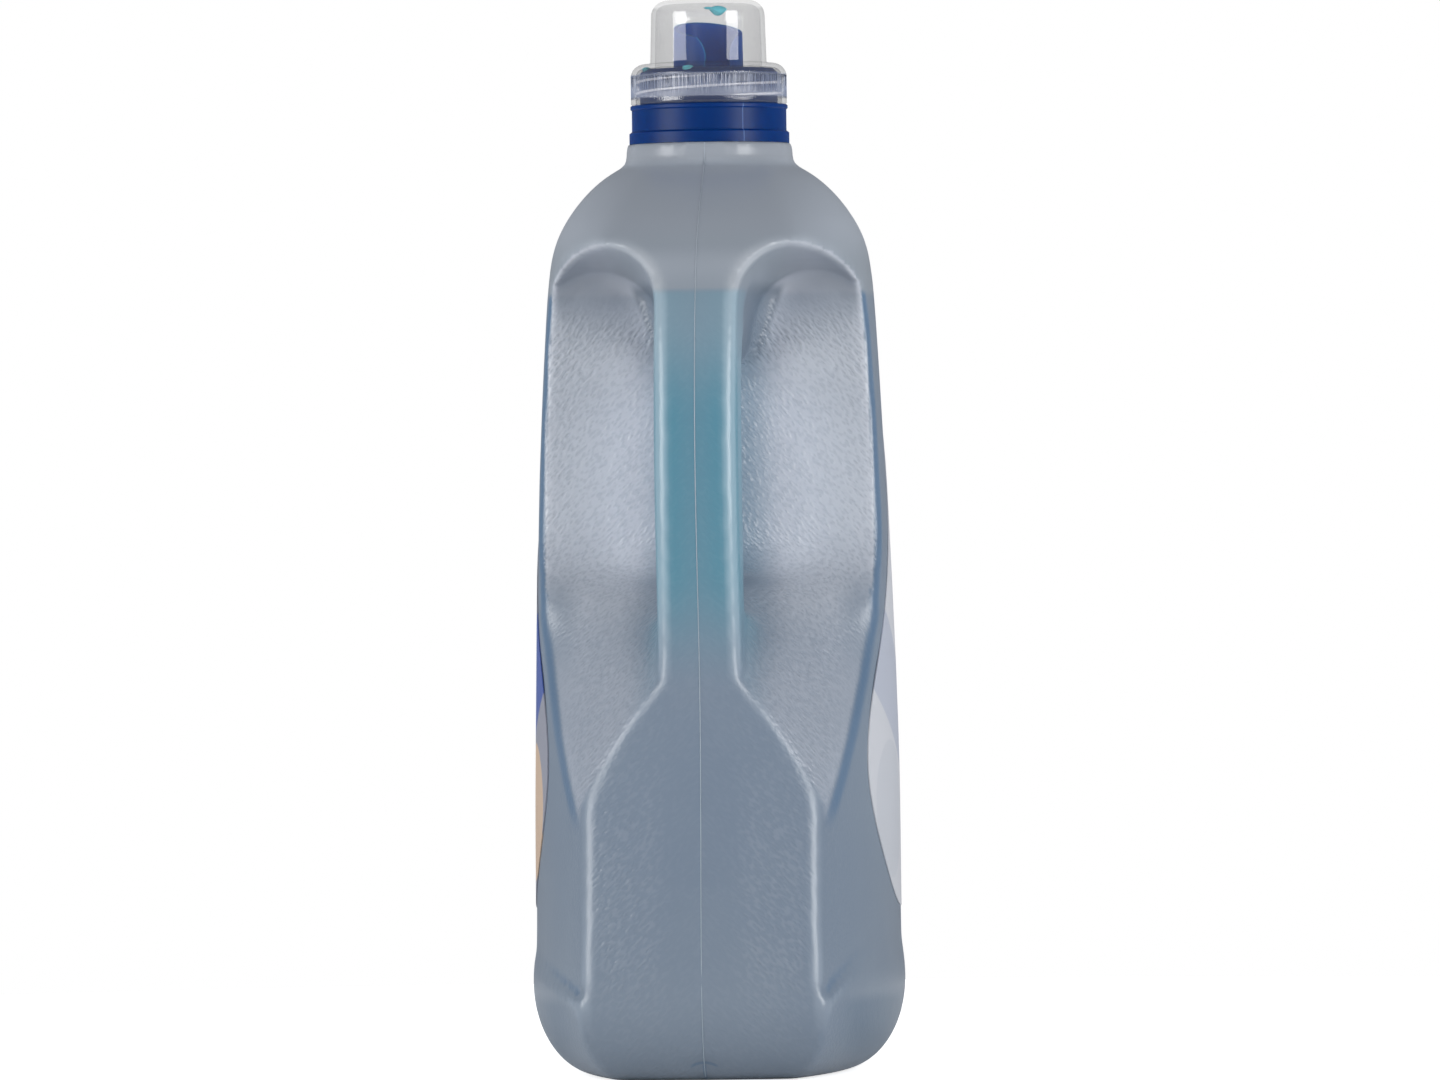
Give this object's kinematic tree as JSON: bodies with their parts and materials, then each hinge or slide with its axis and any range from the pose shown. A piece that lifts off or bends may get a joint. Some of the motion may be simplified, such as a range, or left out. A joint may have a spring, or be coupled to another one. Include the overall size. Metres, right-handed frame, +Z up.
{
  "type": "laundry detergent bottle",
  "caption": "Blow-moulded detergent jug with a through handle, a press-fitted pour spout and a two-step dosing cap, partly filled with blue liquid.",
  "frame": {"origin": "middle of the bounding box on the surface that the base stands on", "axes": "+Z up along the neck, +X towards the handle, -Y towards the front label"},
  "size_m": [0.1801, 0.1108, 0.32],
  "materials": {
    "bottle": "translucent pearly grey-blue HDPE, satin with fine mould grain",
    "spout": "satin deep blue PP",
    "cap": "clear cloudy PP, glossy",
    "label": null,
    "liquid": "blue-teal liquid"
  },
  "bodies": {
    "jug": {"bottle": "bottle", "pour_spout": "spout", "front_label": "label", "back_label": "label", "detergent": "liquid"},
    "cap": {"dosing_cap": "cap"}
  },
  "joints": [
    {"name": "cap_lift", "type": "slide", "parent": "jug", "child": "cap", "axis": [0, 0, 1], "range_m": [0, 0.06]}
  ]
}
